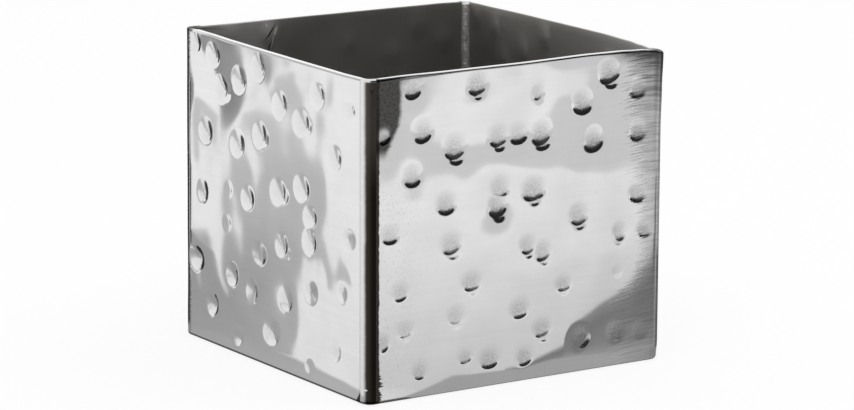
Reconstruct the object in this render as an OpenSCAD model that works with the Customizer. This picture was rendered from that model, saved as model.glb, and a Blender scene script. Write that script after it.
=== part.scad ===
// Sugar packet holder: a square open box of hammered sheet.
// Two folded sheets meet in two corner welds, and a base plate is welded between them.
// The origin is the middle of the underside, +Z is up and the front wall faces -Y.

/* [Body] */
// Outside width and depth of the square body
body_w = 70; // [60:0.5:110]
// Height from the underside to the rim
body_h = 63.5; // [50:0.5:100]
// Thickness of the wall sheet
sheet_t = 1.2; // [0.9:0.1:1.4]
// Outside radius of the four upright edges
corner_r = 2.2; // [2:0.1:4]
// Radius of the outer bottom edge
foot_r = 0.8; // [0.4:0.1:0.8]
// Radius of the two rim edges
rim_r = 0.3; // [0.1:0.05:0.4]

/* [Base] */
// Thickness of the base plate
base_t = 1.2; // [1:0.1:2]
// Gap between the base plate's edge and the walls
base_gap = 0.1; // [0.1:0.05:0.2]
// Bevel along the base plate's lower edge, filled by the base welds
base_bevel = 0.6; // [0.3:0.1:0.7]
// Clearance of the base welds from the walls and the bevel
weld_clear = 0.03; // [0.01:0.01:0.04]

/* [Corner welds] */
// How far the inside bead laps onto each sheet
bead_lap = 0.2; // [0.1:0.05:0.5]
// Setback of the bead's round centre behind the inner corner, as a share of its leg
bead_setback_share = 0.45; // [0.3:0.05:0.6]

/* [Hammered dents] */
// Mouth diameter of a full-size dent
dent_d = 4.2; // [3:0.1:4.8]
// Depth of a full-size dent
dent_depth = 0.55; // [0.3:0.05:0.7]
// How deep a bump is rooted below the sheet's inner face
bump_root = 0.1; // [0.05:0.05:0.2]
// Flat land kept round the outermost bumps
edge_land = 0.05; // [0.05:0.05:0.5]

/* [Hidden] */
$fn = 48;

half_w = body_w / 2;
inner_half = half_w - sheet_t;
inner_r = corner_r - sheet_t;
run_l = body_w - 2 * corner_r;
bead_leg = inner_r + bead_lap;
bead_setback = bead_setback_share * bead_leg;
bead_r = sqrt(pow(bead_leg + bead_setback, 2) + pow(bead_setback, 2));
punch_r = (pow(dent_d / 2, 2) + pow(dent_depth, 2)) / (2 * dent_depth);

// Dents of the front wall: shares of the way across from its left end, of the way up and of full size
front_dent_shares = [
    [0.09, 1.00, 0.95], [0.33, 0.99, 1.00], [0.57, 0.93, 0.75], [0.86, 0.98, 1.05], [0.97, 0.91, 0.90],
    [0.00, 0.86, 0.75], [0.13, 0.85, 1.00], [0.25, 0.78, 1.05], [0.42, 0.80, 0.95], [0.50, 0.80, 0.90],
    [0.59, 0.79, 1.00], [0.75, 0.88, 1.00], [0.80, 0.75, 1.10], [0.97, 0.76, 0.90], [0.09, 0.70, 0.95],
    [0.22, 0.59, 0.95], [0.43, 0.62, 0.95], [0.42, 0.56, 1.00], [0.56, 0.60, 1.05], [0.97, 0.54, 0.80],
    [0.01, 0.51, 0.80], [0.74, 0.49, 0.95], [0.24, 0.45, 1.00], [0.54, 0.41, 0.85], [0.60, 0.38, 0.90],
    [0.90, 0.41, 0.80], [1.00, 0.41, 0.75], [0.05, 0.31, 0.80], [0.32, 0.31, 0.90], [0.68, 0.26, 0.75],
    [0.89, 0.28, 0.60], [0.07, 0.18, 0.75], [0.26, 0.20, 0.90], [0.51, 0.19, 0.95], [0.60, 0.11, 0.95],
    [0.00, 0.13, 0.80], [0.30, 0.06, 0.70], [0.39, 0.03, 1.00], [0.53, 0.02, 0.95], [0.12, 0.03, 0.90],
    [0.76, 0.05, 1.10], [0.90, 0.05, 1.05], [0.99, 0.05, 0.80]
];
// Dents of the left wall, in the same shares
left_dent_shares = [
    [0.00, 1.00, 0.95], [0.12, 0.98, 1.00], [0.17, 0.87, 1.10], [0.29, 0.92, 1.10], [0.42, 0.99, 1.15],
    [0.56, 0.88, 1.10], [0.70, 0.84, 1.10], [0.80, 0.95, 1.00], [0.98, 0.92, 0.70], [0.90, 0.75, 1.00],
    [0.07, 0.70, 1.10], [0.28, 0.69, 1.15], [0.43, 0.75, 1.15], [0.05, 0.48, 1.05], [0.35, 0.51, 1.05],
    [0.55, 0.57, 1.15], [0.70, 0.61, 1.15], [0.75, 0.52, 0.90], [0.75, 0.43, 1.10], [0.97, 0.49, 0.95],
    [0.57, 0.38, 1.10], [0.42, 0.32, 1.05], [0.01, 0.23, 1.05], [0.24, 0.21, 1.05], [0.37, 0.18, 1.05],
    [0.59, 0.19, 1.05], [0.74, 0.26, 1.00], [0.93, 0.30, 0.80], [0.11, 0.08, 1.05], [0.28, 0.00, 0.95],
    [0.50, 0.05, 1.15], [0.90, 0.08, 1.00], [0.73, 0.00, 0.75], [0.23, 0.52, 0.70], [0.22, 0.40, 0.70]
];
// The hidden walls carry the facing wall's dents, seen through, and one more back dent close to the rim
function seen_through(dents) = [for (d = dents) [1 - d[0], d[1], d[2]]];
right_dent_shares = seen_through(left_dent_shares);
back_dent_shares = concat(seen_through(front_dent_shares), [[0.75, 0.99, 0.90]]);

// Reach of a dent's bump at its root, with its land
function bump_reach(size_share) =
    let (r = size_share * punch_r + sheet_t, d = size_share * dent_depth + bump_root)
    sqrt(2 * r * d - d * d) + edge_land;
// Place of a dent on a stretch from low to high, clear of both ends
function place(share, reach, low, high) = low + reach + share * (high - low - 2 * reach);

// Section of a wall: x runs outward from its inner face, y runs up
module wall_section() {
    difference() {
        square([sheet_t, body_h]);
        edge_waste(sheet_t, 0, foot_r, -1, 1);
        edge_waste(sheet_t, body_h, rim_r, -1, -1);
        edge_waste(0, body_h, rim_r, 1, -1);
    }
}

// Waste outside a rounded section corner at x, y; sx and sy point into the section
module edge_waste(x, y, r, sx, sy) {
    translate([x, y])
        scale([sx, sy])
            difference() {
                translate([-r, -r])
                    square(2 * r);
                translate([r, r])
                    circle(r);
            }
}

// Turns the front wall's frame to wall k, counted front, right, back, left
module on_wall(k) {
    rotate([0, 0, 90 * k])
        children();
}

// Straight stretch of the front wall between its two upright edges
module straight_run() {
    translate([half_w - corner_r, -inner_half, 0])
        rotate([90, 0, -90])
            linear_extrude(run_l)
                wall_section();
}

// Quarter turn at the right end of the front wall
module quarter_turn() {
    translate([half_w - corner_r, corner_r - half_w, 0])
        rotate([0, 0, -90])
            rotate_extrude(angle = 90)
                translate([inner_r, 0])
                    wall_section();
}

// Children set at a front wall dent, with z pointing out of the wall's face
module at_dent(dent) {
    reach = bump_reach(dent[2]);
    across = place(dent[0], reach, corner_r + bead_lap, body_w - corner_r - bead_lap);
    up = place(dent[1], reach, base_t, body_h - rim_r);
    translate([across - half_w, -half_w, up])
        rotate([90, 0, 0])
            children();
}

// Inside bump of a dent: the sheet keeps its thickness over the punch
module bump(dent) {
    r = dent[2] * punch_r + sheet_t;
    rise = r - sheet_t - dent[2] * dent_depth;
    at_dent(dent)
        intersection() {
            translate([0, 0, rise])
                sphere(r);
            translate([-r, -r, bump_root - sheet_t - 2 * r])
                cube(2 * r);
        }
}

// Ball of the hammer that makes a dent
module punch(dent) {
    r = dent[2] * punch_r;
    at_dent(dent)
        translate([0, 0, r - dent[2] * dent_depth])
            sphere(r);
}

// Two hammered walls folded from one sheet, the first of them wall k
module folded_sheet(k, first_dents, second_dents) {
    difference() {
        union() {
            on_wall(k) {
                straight_run();
                quarter_turn();
                for (dent = first_dents) bump(dent);
            }
            on_wall(k + 1) {
                straight_run();
                for (dent = second_dents) bump(dent);
            }
        }
        on_wall(k)
            for (dent = first_dents) punch(dent);
        on_wall(k + 1)
            for (dent = second_dents) punch(dent);
    }
}

// Weld at the right end of wall k: round outside like a fold, with a bead inside
module corner_weld(k) {
    on_wall(k) {
        quarter_turn();
        translate([inner_half, -inner_half, base_t])
            linear_extrude(body_h - rim_r - base_t)
                bead_section();
    }
}

// Section of the bead about the inner corner: -x runs along the first wall, y along the second
module bead_section() {
    reach = bead_leg + bead_lap;
    difference() {
        intersection() {
            translate([bead_setback, -bead_setback])
                circle(bead_r);
            translate([-reach, -sheet_t / 2])
                square(reach + sheet_t / 2);
        }
        translate([-reach, -sheet_t])
            square([reach - inner_r, sheet_t]);
        translate([0, inner_r])
            square([sheet_t, reach]);
    }
}

// Section of a base weld, held clear of the wall and the bevel: x runs inward from the wall, y runs up
module base_weld_section(clear) {
    slope_clear = clear * sqrt(2);
    polygon([
        [clear, 0],
        [base_gap + base_bevel - slope_clear, 0],
        [base_gap - slope_clear, base_bevel],
        [clear, base_bevel]
    ]);
}

// Base weld along wall k, and round the corner at its right end
module base_weld(k, clear) {
    on_wall(k) {
        translate([corner_r - half_w, -inner_half, 0])
            rotate([90, 0, 90])
                linear_extrude(run_l)
                    base_weld_section(clear);
        translate([half_w - corner_r, corner_r - half_w, 0])
            rotate([0, 0, -90])
                rotate_extrude(angle = 90)
                    translate([inner_r, 0])
                        mirror([1, 0])
                            base_weld_section(clear);
    }
}

module front_right_sheet() {
    color("gainsboro")
        folded_sheet(0, front_dent_shares, right_dent_shares);
}

module back_left_sheet() {
    color("gainsboro")
        folded_sheet(2, back_dent_shares, left_dent_shares);
}

module front_left_weld() {
    color("silver")
        corner_weld(3);
}

module back_right_weld() {
    color("silver")
        corner_weld(1);
}

// Outline of the base plate
module plate_outline() {
    plate_half = inner_half - base_gap;
    flat_half = half_w - corner_r;
    square([2 * plate_half, 2 * flat_half], center = true);
    square([2 * flat_half, 2 * plate_half], center = true);
    for (k = [0 : 3])
        rotate([0, 0, 90 * k])
            translate([flat_half, flat_half])
                circle(inner_r - base_gap);
}

// Base plate, bevelled below where the base welds lie
module base_plate() {
    color("darkgray")
        difference() {
            linear_extrude(base_t)
                plate_outline();
            for (k = [0 : 3]) base_weld(k, 0);
        }
}

module base_weld_front() {
    color("darkgray")
        base_weld(0, weld_clear);
}

module base_weld_right() {
    color("darkgray")
        base_weld(1, weld_clear);
}

module base_weld_back() {
    color("darkgray")
        base_weld(2, weld_clear);
}

module base_weld_left() {
    color("darkgray")
        base_weld(3, weld_clear);
}

front_right_sheet();
back_left_sheet();
front_left_weld();
back_right_weld();
base_plate();
base_weld_front();
base_weld_right();
base_weld_back();
base_weld_left();
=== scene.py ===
from math import asin, cos, pi, radians, sin, sqrt

import bpy
from mathutils import Matrix, Vector


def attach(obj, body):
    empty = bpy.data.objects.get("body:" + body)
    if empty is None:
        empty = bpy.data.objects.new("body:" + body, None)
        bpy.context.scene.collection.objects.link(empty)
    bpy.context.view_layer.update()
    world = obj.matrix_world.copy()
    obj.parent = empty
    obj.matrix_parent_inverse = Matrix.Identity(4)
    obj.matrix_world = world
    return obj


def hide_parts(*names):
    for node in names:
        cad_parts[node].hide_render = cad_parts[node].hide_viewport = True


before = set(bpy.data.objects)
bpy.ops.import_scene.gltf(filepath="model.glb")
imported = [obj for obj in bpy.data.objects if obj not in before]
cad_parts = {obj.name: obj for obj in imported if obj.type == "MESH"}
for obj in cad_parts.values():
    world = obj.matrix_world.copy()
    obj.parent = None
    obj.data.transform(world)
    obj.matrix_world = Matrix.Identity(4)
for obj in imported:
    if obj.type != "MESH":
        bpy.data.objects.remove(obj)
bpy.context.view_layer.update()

scene = bpy.context.scene
mm = 0.001
holder = {  # the solids' own sizes, in millimetres
    "width": 70.0,
    "height": 63.5,
    "sheet": 1.2,
    "corner": 2.2,
    "foot": 0.8,
    "rim": 0.3,
    "base": 1.2,
    "beadLap": 0.2,
}
half = holder["width"] / 2
run = holder["width"] - 2 * holder["corner"]  # flat length of a wall between its corners
arc = pi * holder["corner"] / 2  # outer length of a corner


# helpers for node trees
class Flow:  # a node's output that takes part in sums as a number does
    def __init__(self, tree, socket):
        self.tree = tree
        self.socket = socket

    def apply(self, operation, *others):
        return calc(self.tree, operation, self, *others)

    def __add__(self, other):
        return self.apply("ADD", other)

    def __sub__(self, other):
        return self.apply("SUBTRACT", other)

    def __rsub__(self, other):
        return calc(self.tree, "SUBTRACT", other, self)

    def __mul__(self, other):
        return self.apply("MULTIPLY", other)

    def __truediv__(self, other):
        return self.apply("DIVIDE", other)

    def ease(self, low, high, first=0.0, last=1.0, kind="SMOOTHSTEP"):  # from first at low to last at high
        inputs = dict(enumerate((self, low, high, first, last)))
        return fromNode(self.tree, "ShaderNodeMapRange", {"interpolation_type": kind}, inputs)


def feed(tree, socket, value):
    if isinstance(value, Flow):
        tree.links.new(value.socket, socket)
    else:
        socket.default_value = value


def addNode(tree, kind, settings=None, inputs=None):
    node = tree.nodes.new(kind)
    for key, value in (settings or {}).items():
        setattr(node, key, value)
    for key, value in (inputs or {}).items():
        feed(tree, node.inputs[key], value)
    return node


def fromNode(tree, kind, settings=None, inputs=None, output=0):
    return Flow(tree, addNode(tree, kind, settings, inputs).outputs[output])


def calc(tree, operation, *values):
    return fromNode(tree, "ShaderNodeMath", {"operation": operation}, dict(enumerate(values)))


def lower(first, second):
    return first.apply("MINIMUM", second)


def higher(first, second):
    return first.apply("MAXIMUM", second)


def split(vector):
    node = addNode(vector.tree, "ShaderNodeSeparateXYZ", inputs={0: vector})
    return [Flow(vector.tree, socket) for socket in node.outputs]


def join(tree, x, y, z):
    return fromNode(tree, "ShaderNodeCombineXYZ", inputs={0: x, 1: y, 2: z})


def vectorCalc(operation, vector, other=(0, 0, 0)):
    return fromNode(vector.tree, "ShaderNodeVectorMath", {"operation": operation}, {0: vector, 1: other})


def noise(vector, scale, detail=2.0, rough=0.5):
    inputs = {"Vector": vector, "Scale": scale, "Detail": detail, "Roughness": rough}
    return fromNode(vector.tree, "ShaderNodeTexNoise", inputs=inputs)


def streaks(vector, scales, detail, rough):  # noise with a scale of its own along each axis
    return noise(vectorCalc("MULTIPLY", vector, scales), 1.0, detail, rough)


def blend(factor, first, second):
    inputs = {0: factor, 6: first, 7: second}
    return fromNode(factor.tree, "ShaderNodeMix", {"data_type": "RGBA"}, inputs, 2)


def makeTree(name, kind, takes, gives):
    tree = bpy.data.node_groups.new(name, kind)
    for way, sockets in (("INPUT", takes), ("OUTPUT", gives)):
        for label, form in sockets:
            tree.interface.new_socket(name=label, in_out=way, socket_type="NodeSocket" + form)
    given = {socket.name: Flow(tree, socket) for socket in tree.nodes.new("NodeGroupInput").outputs}
    return tree, given, tree.nodes.new("NodeGroupOutput").inputs


def namedLayer(tree, label):
    settings = {"data_type": "FLOAT"}
    return fromNode(tree, "GeometryNodeInputNamedAttribute", settings, {"Name": label}, "Attribute")


def closeTree(tree, geometry, given, result):
    whole = fromNode(tree, "GeometryNodeRealizeInstances", inputs={"Geometry": geometry})
    inputs = {"Geometry": whole, "Material": given["Material"]}
    feed(tree, result["Geometry"], fromNode(tree, "GeometryNodeSetMaterial", inputs=inputs))
    return tree


# helpers for meshes
def showObject(name, mesh):
    piece = bpy.data.objects.new(name, mesh)
    scene.collection.objects.link(piece)
    return piece


def addLayer(mesh, label, values, form="FLOAT", domain="POINT"):
    mesh.attributes.new(label, form, domain).data.foreach_set("value", values)


def ringMesh(name, rings):  # rings of points in millimetres, joined into a closed solid with flat ends
    size = len(rings[0])
    faces = []
    for i in range(len(rings) - 1):
        for j in range(size):
            k = (j + 1) % size
            faces.append((i * size + j, (i + 1) * size + j, (i + 1) * size + k, i * size + k))
    last = (len(rings) - 1) * size
    faces.append(tuple(range(size)))
    faces.append(tuple(range(last + size - 1, last - 1, -1)))
    mesh = bpy.data.meshes.new(name)
    mesh.from_pydata([(x * mm, y * mm, z * mm) for ring in rings for x, y, z in ring], [], faces)
    mesh.polygons.foreach_set("use_smooth", [True] * len(mesh.polygons))
    return mesh


def runTree(mesh, tree, values):
    source = showObject(tree.name + "Source", mesh)
    modifier = source.modifiers.new(tree.name, "NODES")
    modifier.node_group = tree
    items = [i for i in tree.interface.items_tree if i.item_type == "SOCKET" and i.in_out == "INPUT"]
    identifiers = {i.name: i.identifier for i in items}
    for label, value in values.items():
        modifier[identifiers[label]] = value
    bpy.context.view_layer.update()
    graph = bpy.context.evaluated_depsgraph_get()
    baked = bpy.data.meshes.new_from_object(
        source.evaluated_get(graph), preserve_all_data_layers=True, depsgraph=graph
    )
    bpy.data.objects.remove(source)  # the modifier goes with it
    return baked


hammer = {  # how the punch and the stretched sheet behave: the tree's inputs
    "Dent Radius": 2.02 * mm,
    "Dent Depth": 0.233 * mm,
    "Soft Side": 0.75,
    "Bowl Share": 0.14,
    "Uneven": 0.14,
    "Turn Spread": 0.40,
    "Skirt Radius": 6.5 * mm,
    "Skirt Depth": 0.25 * mm,
    "Wave Height": 0.34 * mm,
    "Wave Size": 15.0 * mm,
    "Mean": 0.28 * mm,
}
# each blow's own chances, how steep its sides are, and how far a seed shifts the waves
blows = {"slant": 0.25, "light": 0.80, "hard": 1.14, "steepness": 1.6, "rampCut": 0.35, "waveShift": 0.37}
fades = {  # where the hammering dies out: from, to, first share, last share
    "dentEnd": (0.0, 1.6 * mm),
    "dentFoot": (0.2 * mm, 2.2 * mm),
    "sheetEnd": (0.0, 7.0 * mm),
    "sheetFoot": (0.0, 8.0 * mm),
    "sheetFold": (0.0, 5.0 * mm, 0.4, 1.0),
    "mean": (8 * mm, 50 * mm),
    "bulge": (2.0 * mm, 16.0 * mm),
    "leanEnd": (0.0, 30.0 * mm),
    "rise": (30 * mm, 63 * mm),
}
# each sheet's own bends in millimetres: how the fold leans out by height, how the rim rises along the blank
rightFold = {
    "width": 3.2,
    "mean": 1.0,
    "lean": [(0, 0.0), (4, 0.22), (48, 0.22), (56, 0.37), (63.5, 0.58)],
    "rise": [
        (0, 0.0), (7, 0.18), (32, 0.24), (48, 0.38), (56, 0.25), (62, 0.05), (65, -0.20), (67.3, -1.0),
        (70, -0.70), (74, -0.35), (78, -0.10), (88, 0.10), (112, 0.15), (130, 0.12), (135, 0.05),
    ],
}
leftFold = {
    "width": 45.0,
    "mean": 0.3,
    "lean": [(0, 0.0), (40, -0.20), (63.5, -0.30)],
    "rise": [
        (0, 0.05), (7, 0.20), (30, 0.26), (50, 0.42), (60, 0.42), (71, 0.45), (76, 0.38), (86, 0.25),
        (100, 0.12), (120, 0.05), (135, 0.0),
    ],
}
noFold = {"width": 3.2, "mean": 1.0, "lean": [(0, 0.0), (63.5, 0.0)], "rise": [(0, 0.0), (135, 0.0)]}

# the dents: share across the wall, share up the wall, share of the usual size
dents = {"mouth": 4.2, "depth": 0.55, "bumpRoot": 0.1, "land": 0.05}
frontDents = [
    (0.09, 1.00, 0.95), (0.33, 0.99, 1.00), (0.57, 0.93, 0.75), (0.86, 0.98, 1.05), (0.97, 0.91, 0.90),
    (0.00, 0.86, 0.75), (0.13, 0.85, 1.00), (0.25, 0.78, 1.05), (0.42, 0.80, 0.95), (0.50, 0.80, 0.90),
    (0.59, 0.79, 1.00), (0.75, 0.88, 1.00), (0.80, 0.75, 1.10), (0.97, 0.76, 0.90), (0.09, 0.70, 0.95),
    (0.22, 0.59, 0.95), (0.43, 0.62, 0.95), (0.42, 0.56, 1.00), (0.56, 0.60, 1.05), (0.97, 0.54, 0.80),
    (0.01, 0.51, 0.80), (0.74, 0.49, 0.95), (0.24, 0.45, 1.00), (0.54, 0.41, 0.85), (0.60, 0.38, 0.90),
    (0.90, 0.41, 0.80), (1.00, 0.41, 0.75), (0.05, 0.31, 0.80), (0.32, 0.31, 0.90), (0.68, 0.26, 0.75),
    (0.89, 0.28, 0.60), (0.07, 0.18, 0.75), (0.26, 0.20, 0.90), (0.51, 0.19, 0.95), (0.60, 0.11, 0.95),
    (0.00, 0.13, 0.80), (0.30, 0.06, 0.70), (0.39, 0.03, 1.00), (0.53, 0.02, 0.95), (0.12, 0.03, 0.90),
    (0.76, 0.05, 1.10), (0.90, 0.05, 1.05), (0.99, 0.05, 0.80),
]
leftDents = [
    (0.00, 1.00, 0.95), (0.12, 0.98, 1.00), (0.17, 0.87, 1.10), (0.29, 0.92, 1.10), (0.42, 0.99, 1.15),
    (0.56, 0.88, 1.10), (0.70, 0.84, 1.10), (0.80, 0.95, 1.00), (0.98, 0.92, 0.70), (0.90, 0.75, 1.00),
    (0.07, 0.70, 1.10), (0.28, 0.69, 1.15), (0.43, 0.75, 1.15), (0.05, 0.48, 1.05), (0.35, 0.51, 1.05),
    (0.55, 0.57, 1.15), (0.70, 0.61, 1.15), (0.75, 0.52, 0.90), (0.75, 0.43, 1.10), (0.97, 0.49, 0.95),
    (0.57, 0.38, 1.10), (0.42, 0.32, 1.05), (0.01, 0.23, 1.05), (0.24, 0.21, 1.05), (0.37, 0.18, 1.05),
    (0.59, 0.19, 1.05), (0.74, 0.26, 1.00), (0.93, 0.30, 0.80), (0.11, 0.08, 1.05), (0.28, 0.00, 0.95),
    (0.50, 0.05, 1.15), (0.90, 0.08, 1.00), (0.73, 0.00, 0.75), (0.23, 0.52, 0.70), (0.22, 0.40, 0.70),
]
rightDents = [(1 - across, up, size) for across, up, size in leftDents]
backDents = [(1 - across, up, size) for across, up, size in frontDents] + [(0.75, 0.99, 0.90)]
bounce = {"along": 0.30, "down": 1.52, "size": 0.72, "deep": 0.55}  # a second strike, by the first one's size
frontBounced = (1, 2, 3, 7, 8, 10, 17, 18, 21, 22, 23, 24, 25, 28, 29, 31, 32, 34, 36)  # rows struck twice
leftBounced = (2, 6, 12, 15, 20)
frontForce = {  # light and hard blows, by row
    2: 0.80, 6: 0.78, 9: 0.92, 11: 0.92, 12: 0.92, 14: 0.75, 15: 0.90, 16: 0.95, 18: 1.10, 20: 0.85, 27: 0.85,
    29: 1.12, 30: 0.50, 31: 1.00, 34: 1.10, 36: 1.20, 37: 1.20, 39: 1.20, 40: 2.00, 41: 2.20, 42: 1.70,
}
leftForce = {
    5: 0.82, 6: 0.82, 7: 0.82, 9: 0.82, 10: 0.80, 11: 0.82, 12: 0.82, 13: 0.85, 14: 0.88, 15: 0.88, 16: 0.88,
    17: 0.90, 18: 0.90, 21: 0.90, 22: 1.70, 23: 1.20, 28: 2.00, 29: 2.00, 30: 1.35, 33: 0.30, 34: 0.30,
}
leftPull = {  # blows that stretched the sheet less
    3: 0.6, 4: 0.6, 5: 0.5, 6: 0.4, 7: 0.4, 8: 0.5, 9: 0.4, 10: 0.5, 11: 0.4, 12: 0.4, 13: 0.3, 14: 0.7,
    15: 0.7, 16: 0.7, 17: 0.3, 18: 0.35, 20: 0.6, 21: 0.6, 22: 0.6, 33: 0.15, 34: 0.15,
}
frontAim = {5: -50, 25: -112, 26: -120, 35: -38, 40: -50}  # steep sides that point another way, in degrees
leftAim = {
    19: 170, 20: -40, 21: -45, 22: 18, 24: 8, 25: -50, 26: 172, 27: 172, 28: 20, 29: 20, 30: -40, 32: 170,
}
frontNudge = {5: (-0.6, -0.7), 35: (-0.8, 1.0)}  # dents that run on to the weld: along, up
frontSwells = [  # broad swells of the sheet: along, up, radius, lift in millimetres
    (9.0, 71.0, 12.0, 0.46), (26.0, 71.0, 13.0, 0.76), (41.0, 71.0, 13.0, 0.46),
]
plain = {"aim": {}, "nudge": {}, "pull": {}, "swells": []}
frontKind = {
    **plain, "turn": -88, "bounced": frontBounced, "force": frontForce,
    "deep": 1.0, "flat": 0.60, "ramp": 0.0,
}
leftKind = {
    **plain, "turn": -22, "bounced": leftBounced, "force": leftForce, "pull": leftPull,
    "deep": 1.3, "flat": 0.52, "ramp": 1.0,
}
walls = {
    "front": {**frontKind, "dents": frontDents, "swells": frontSwells, "nudge": frontNudge, "aim": frontAim},
    "right": {**leftKind, "dents": rightDents, "turn": 180 - leftKind["turn"]},
    "back": {**frontKind, "dents": backDents, "force": {**frontForce, 1: 0.3, 43: 3.2}},
    "left": {**leftKind, "dents": leftDents, "aim": leftAim},
}
dentColumns = ("dentSize", "dentTurn", "dentDeep", "dentPull", "dentFlat", "dentRamp")


def dentPlace(share, size, low, high):  # keeps a whole dent and its bump between low and high
    punch = (dents["mouth"] ** 2 / 4 + dents["depth"] ** 2) / (2 * dents["depth"])
    radius = size * punch + holder["sheet"]
    deep = size * dents["depth"] + dents["bumpRoot"]
    reach = sqrt(2 * radius * deep - deep * deep) + dents["land"]
    return low + reach + share * (high - low - 2 * reach)


def dentPoints(name, rows):  # rows of (along the blank, up) in millimetres, then the dent's columns
    mesh = bpy.data.meshes.new(name)
    mesh.from_pydata([(row[0] * mm, 0, row[1] * mm) for row in rows], [], [])
    for column, label in enumerate(dentColumns, 2):
        addLayer(mesh, label, [row[column] for row in rows])
    return showObject(name, mesh)


def wallRows(wall, start):  # one wall's dents and swells, placed on the blank
    margin = holder["corner"] + holder["beadLap"]
    end = holder["width"] - margin
    edge = (wall["flat"], wall["ramp"])
    rows = []
    for i, (across, up, size) in enumerate(wall["dents"]):
        moveAlong, moveUp = wall["nudge"].get(i, (0, 0))
        along = start + dentPlace(across, size, margin, end) - holder["corner"] + moveAlong
        height = dentPlace(up, size, holder["base"], holder["height"] - holder["rim"]) + moveUp
        turn = radians(wall["aim"].get(i, wall["turn"]))
        deep = wall["deep"] * wall["force"].get(i, 1.0)
        rows.append((along, height, size, turn, deep, wall["pull"].get(i, 1.0), *edge))
        if i in wall["bounced"]:  # the punch jumped and struck again, beside the steep side
            ahead, aside = bounce["down"] * size, bounce["along"] * size
            x = along + ahead * cos(turn) - aside * sin(turn)
            z = height + ahead * sin(turn) + aside * cos(turn)
            rows.append((x, z, size * bounce["size"], turn, deep * bounce["deep"], 0.0, *edge))
    for along, up, radius, lift in wall["swells"]:
        size = radius * mm / hammer["Skirt Radius"]
        pull = -lift * mm / (hammer["Skirt Depth"] * size)
        rows.append((start + along, up, size, 0.0, 0.0, pull, 0.0, 0.0))
    return rows


# flat blanks, before they are hammered and folded
blank = {
    "columnStep": 0.36, "outerStep": 0.34, "innerStep": 1.4, "foldSteps": 16, "footSteps": 6, "rimSteps": 4,
    "weldSteps": 18, "weldThin": 0.03,
}


def steps(low, high, size):
    return sweep(low, high, max(1, round((high - low) / size)) + 1)


def sweep(low, high, count):
    return [low + (high - low) * i / (count - 1) for i in range(count)]


def sectionLoop():  # (inward, up) round the sheet's section, from the inner lower edge
    sheet, foot, rim, top = holder["sheet"], holder["foot"], holder["rim"], holder["height"]
    points = [(sheet, 0.0)]
    points += [(foot - foot * sin(a), foot - foot * cos(a)) for a in sweep(0, pi / 2, blank["footSteps"] + 1)]
    points += [(0.0, z) for z in steps(foot, top - rim, blank["outerStep"])[1:]]
    turn = sweep(0, pi / 2, blank["rimSteps"] + 1)
    points += [(rim - rim * cos(a), top - rim + rim * sin(a)) for a in turn[1:]]
    points += [(sheet - rim + rim * sin(a), top - rim + rim * cos(a)) for a in turn]
    points += [(sheet, z) for z in steps(top - rim, 0.0, -blank["innerStep"])[1:-1]]
    return points


def follow(table, place):  # smooth steps from one row of a table to the next
    for (low, first), (high, last) in zip(table, table[1:]):
        if place <= high:
            share = max(0.0, (place - low) / (high - low))
            return first + (last - first) * share * share * (3 - 2 * share)
    return table[-1][1]


def blankMesh(name, columns, fold):
    loop = sectionLoop()
    size = len(loop)
    mesh = ringMesh(name, [[(s, y, z) for y, z in loop] for s in columns])
    ends = (0, len(columns) - 1)
    sharp = []
    for edge in mesh.edges:
        a, b = edge.vertices
        atEnd = a // size == b // size and a // size in ends
        sharp.append(atEnd or (a % size == 0 and b % size == 0))
    addLayer(mesh, "sharp_edge", sharp, "BOOLEAN", "EDGE")
    inner = holder["sheet"] - 0.5 * holder["rim"]
    addLayer(mesh, "inside", [float(y >= inner) for y, z in loop] * len(columns))
    addLayer(mesh, "foldLean", [follow(fold["lean"], z) * mm for y, z in loop] * len(columns))
    addLayer(mesh, "rimRise", [follow(fold["rise"], s) * mm for s in columns for point in loop])
    return mesh


def sheetColumns():
    first = steps(0.0, run, blank["columnStep"])
    fold = sweep(run, run + arc, blank["foldSteps"] + 1)[1:-1]
    return first + fold + [run + arc + s for s in first]


def weldColumns():  # the first and last columns meet the sheets squarely
    thin = blank["weldThin"]
    return [0.0] + sweep(thin, arc - thin, blank["weldSteps"] + 1) + [arc]


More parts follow.
